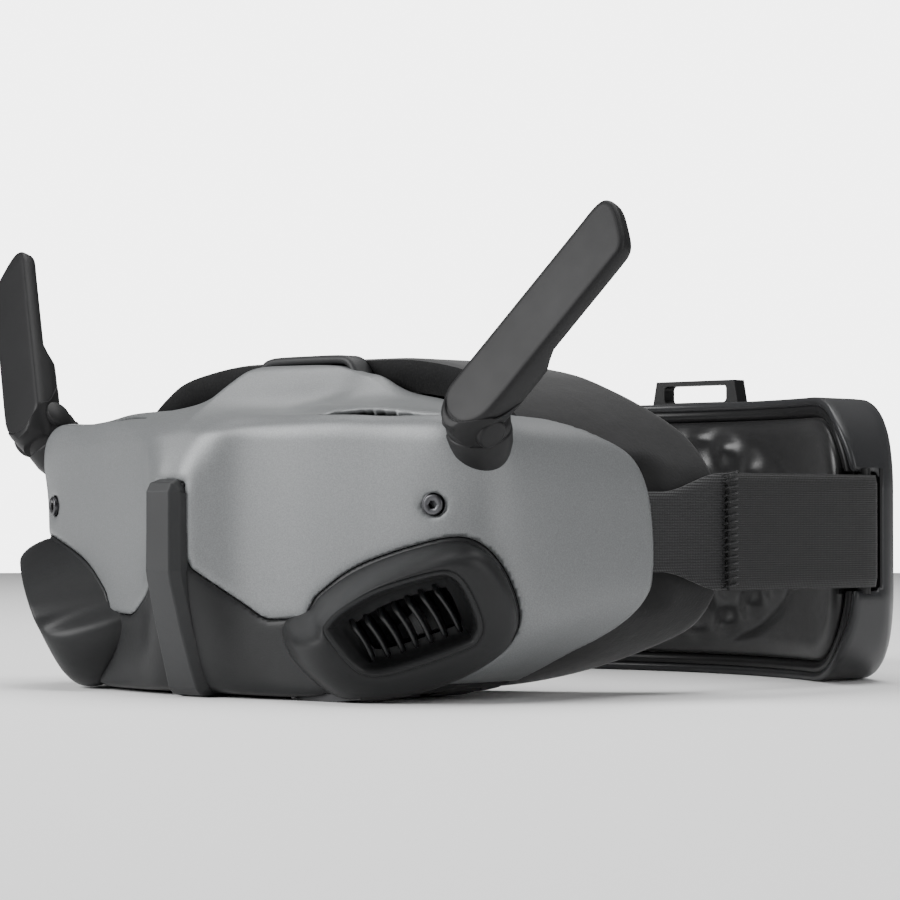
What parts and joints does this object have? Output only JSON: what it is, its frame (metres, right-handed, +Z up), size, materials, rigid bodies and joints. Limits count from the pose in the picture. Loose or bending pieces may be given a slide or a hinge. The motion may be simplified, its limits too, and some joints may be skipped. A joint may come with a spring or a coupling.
{
  "type": "fpv goggles",
  "caption": "Head-worn video goggles for flying a drone, with folding antennas, cheek vents, sliding eyepieces and an elastic headband that carries a curved battery unit.",
  "frame": {"origin": "under the middle of the whole object, on the surface that it stands on", "axes": "+X to the wearer's left, +Y from the nose of the goggles to the back of the head, +Z up"},
  "size_m": [0.2056, 0.196, 0.1048],
  "materials": {
    "shell_grey": "painted, fine satin metallic grain",
    "shell_dark": "moulded, fine matte texture",
    "antenna_dark": "moulded, satin",
    "chassis_black": "moulded black",
    "steel": "blackened machine screws",
    "rod_steel": "ground",
    "shield_fabric": "foam under smooth knitted cover",
    "cushion_leather": "soft synthetic leather",
    "strap_fabric": "ribbed elastic webbing",
    "strap_mesh": "fine woven hook-and-loop band",
    "lens_glass": "coated",
    "display_black": "glossy dark panel",
    "circuit_green": "solder mask",
    "heat_sink": "die cast",
    "cell_wrap": "laminated pouch foil",
    "button_dark": "moulded, fine matte texture",
    "rubber_black": "matte",
    "connector_metal": "plated",
    "light_clear": "frosted light pipe"
  },
  "bodies": {
    "goggles": {"front_shell": "shell_grey", "lower_fascia": "shell_dark", "bottom_cover": "shell_dark", "vent_grille_left": "shell_dark", "vent_grille_right": "shell_dark", "exhaust_grilles": "chassis_black", "shell_screws": "steel", "bottom_screws": "steel", "chassis": "chassis_black", "light_shield": "shield_fabric", "forehead_pad": "cushion_leather", "front_loop": "shell_dark", "antenna_pins": "steel", "antenna_base_left": "antenna_dark", "antenna_base_right": "antenna_dark", "guide_rods": "rod_steel", "mainboard": "circuit_green", "heat_sink": "heat_sink", "fan_housing": "chassis_black", "control_board": "circuit_green", "usb_c_port": "connector_metal", "card_slot": "connector_metal", "port_board": "circuit_green", "proximity_sensor": "display_black", "headband_rivets": "steel"},
    "antenna_left": {"antenna_blade_left": "antenna_dark", "antenna_neck_left": "antenna_dark", "antenna_board_left": "circuit_green"},
    "antenna_right": {"antenna_blade_right": "antenna_dark", "antenna_neck_right": "antenna_dark", "antenna_board_right": "circuit_green"},
    "lens_module_left": {"lens_barrel_left": "chassis_black", "eyepiece_lens_left": "lens_glass", "display_panel_left": "display_black", "ipd_knob_left": "button_dark"},
    "lens_module_right": {"lens_barrel_right": "chassis_black", "eyepiece_lens_right": "lens_glass", "display_panel_right": "display_black", "ipd_knob_right": "button_dark"},
    "fan_rotor": {"fan_impeller": "chassis_black"},
    "nav_rocker": {"nav_rocker": "chassis_black"},
    "nav_stick": {"nav_stick": "chassis_black"},
    "nav_cap": {"nav_cap": "button_dark"},
    "back_button": {"back_button": "button_dark"},
    "link_button": {"link_button": "button_dark"},
    "port_cover": {"port_cover": "rubber_black"},
    "headband": {"strap_hook_left": "chassis_black", "strap_hook_right": "chassis_black", "strap_elastic_left": "strap_fabric", "strap_elastic_right": "strap_fabric", "strap_top_left": "strap_mesh", "strap_top_right": "strap_mesh", "battery_shell": "shell_dark", "battery_cover": "chassis_black", "back_cushion": "cushion_leather", "battery_cells": "cell_wrap", "battery_board": "circuit_green", "status_lights": "light_clear", "rear_loop": "chassis_black"},
    "power_button": {"power_button": "button_dark"}
  },
  "joints": [
    {"name": "antenna_left_fold", "type": "hinge", "parent": "goggles", "child": "antenna_left", "pos_m": [0.0707, -0.0722, 0.0607], "axis": [-0.8309, 0.0801, 0.5506], "range_deg": [0, 62]},
    {"name": "antenna_right_fold", "type": "hinge", "parent": "goggles", "child": "antenna_right", "pos_m": [-0.0707, -0.0722, 0.0607], "axis": [-0.8309, -0.0801, -0.5506], "range_deg": [0, 62]},
    {"name": "ipd_left", "type": "slide", "parent": "goggles", "child": "lens_module_left", "axis": [1, 0, 0], "range_m": [-0.004, 0.004]},
    {"name": "ipd_right", "type": "slide", "parent": "goggles", "child": "lens_module_right", "axis": [-1, 0, 0], "range_m": [-0.004, 0.004]},
    {"name": "fan_spin", "type": "hinge", "parent": "goggles", "child": "fan_rotor", "pos_m": [0, -0.063, 0.036], "axis": [0, 1, 0], "continuous": true},
    {"name": "nav_tilt_up_down", "type": "hinge", "parent": "goggles", "child": "nav_rocker", "pos_m": [-0.06912, -0.05721, 0.041], "axis": [-0.172, 0.9851, 0], "range_deg": [-6, 6], "stiffness_Nm_per_rad": 0.02},
    {"name": "nav_tilt_fore_aft", "type": "hinge", "parent": "nav_rocker", "child": "nav_stick", "pos_m": [-0.06912, -0.05721, 0.041], "axis": [0, 0, 1], "range_deg": [-6, 6], "stiffness_Nm_per_rad": 0.02},
    {"name": "nav_press", "type": "slide", "parent": "nav_stick", "child": "nav_cap", "axis": [0.9851, 0.172, 0], "range_m": [0, 0.0005], "stiffness_N_per_m": 800, "springref_m": -0.0005},
    {"name": "back_button_press", "type": "slide", "parent": "goggles", "child": "back_button", "axis": [0.9851, 0.172, 0], "range_m": [0, 0.0006], "stiffness_N_per_m": 600, "springref_m": -0.0006},
    {"name": "link_button_press", "type": "slide", "parent": "goggles", "child": "link_button", "axis": [0, 0, 1], "range_m": [0, 0.0006], "stiffness_N_per_m": 600, "springref_m": -0.0006},
    {"name": "port_cover_open", "type": "hinge", "parent": "goggles", "child": "port_cover", "pos_m": [0.0272, -0.073, 0.001], "axis": [0, 1, 0], "range_deg": [0, 90]},
    {"name": "headband_tilt", "type": "hinge", "parent": "goggles", "child": "headband", "pos_m": [0, -0.034, 0.0358], "axis": [1, 0, 0], "range_deg": [-12, 12]},
    {"name": "power_button_press", "type": "slide", "parent": "headband", "child": "power_button", "axis": [-0.4067, -0.9135, 0], "range_m": [0, 0.0006], "stiffness_N_per_m": 600, "springref_m": -0.0006}
  ]
}
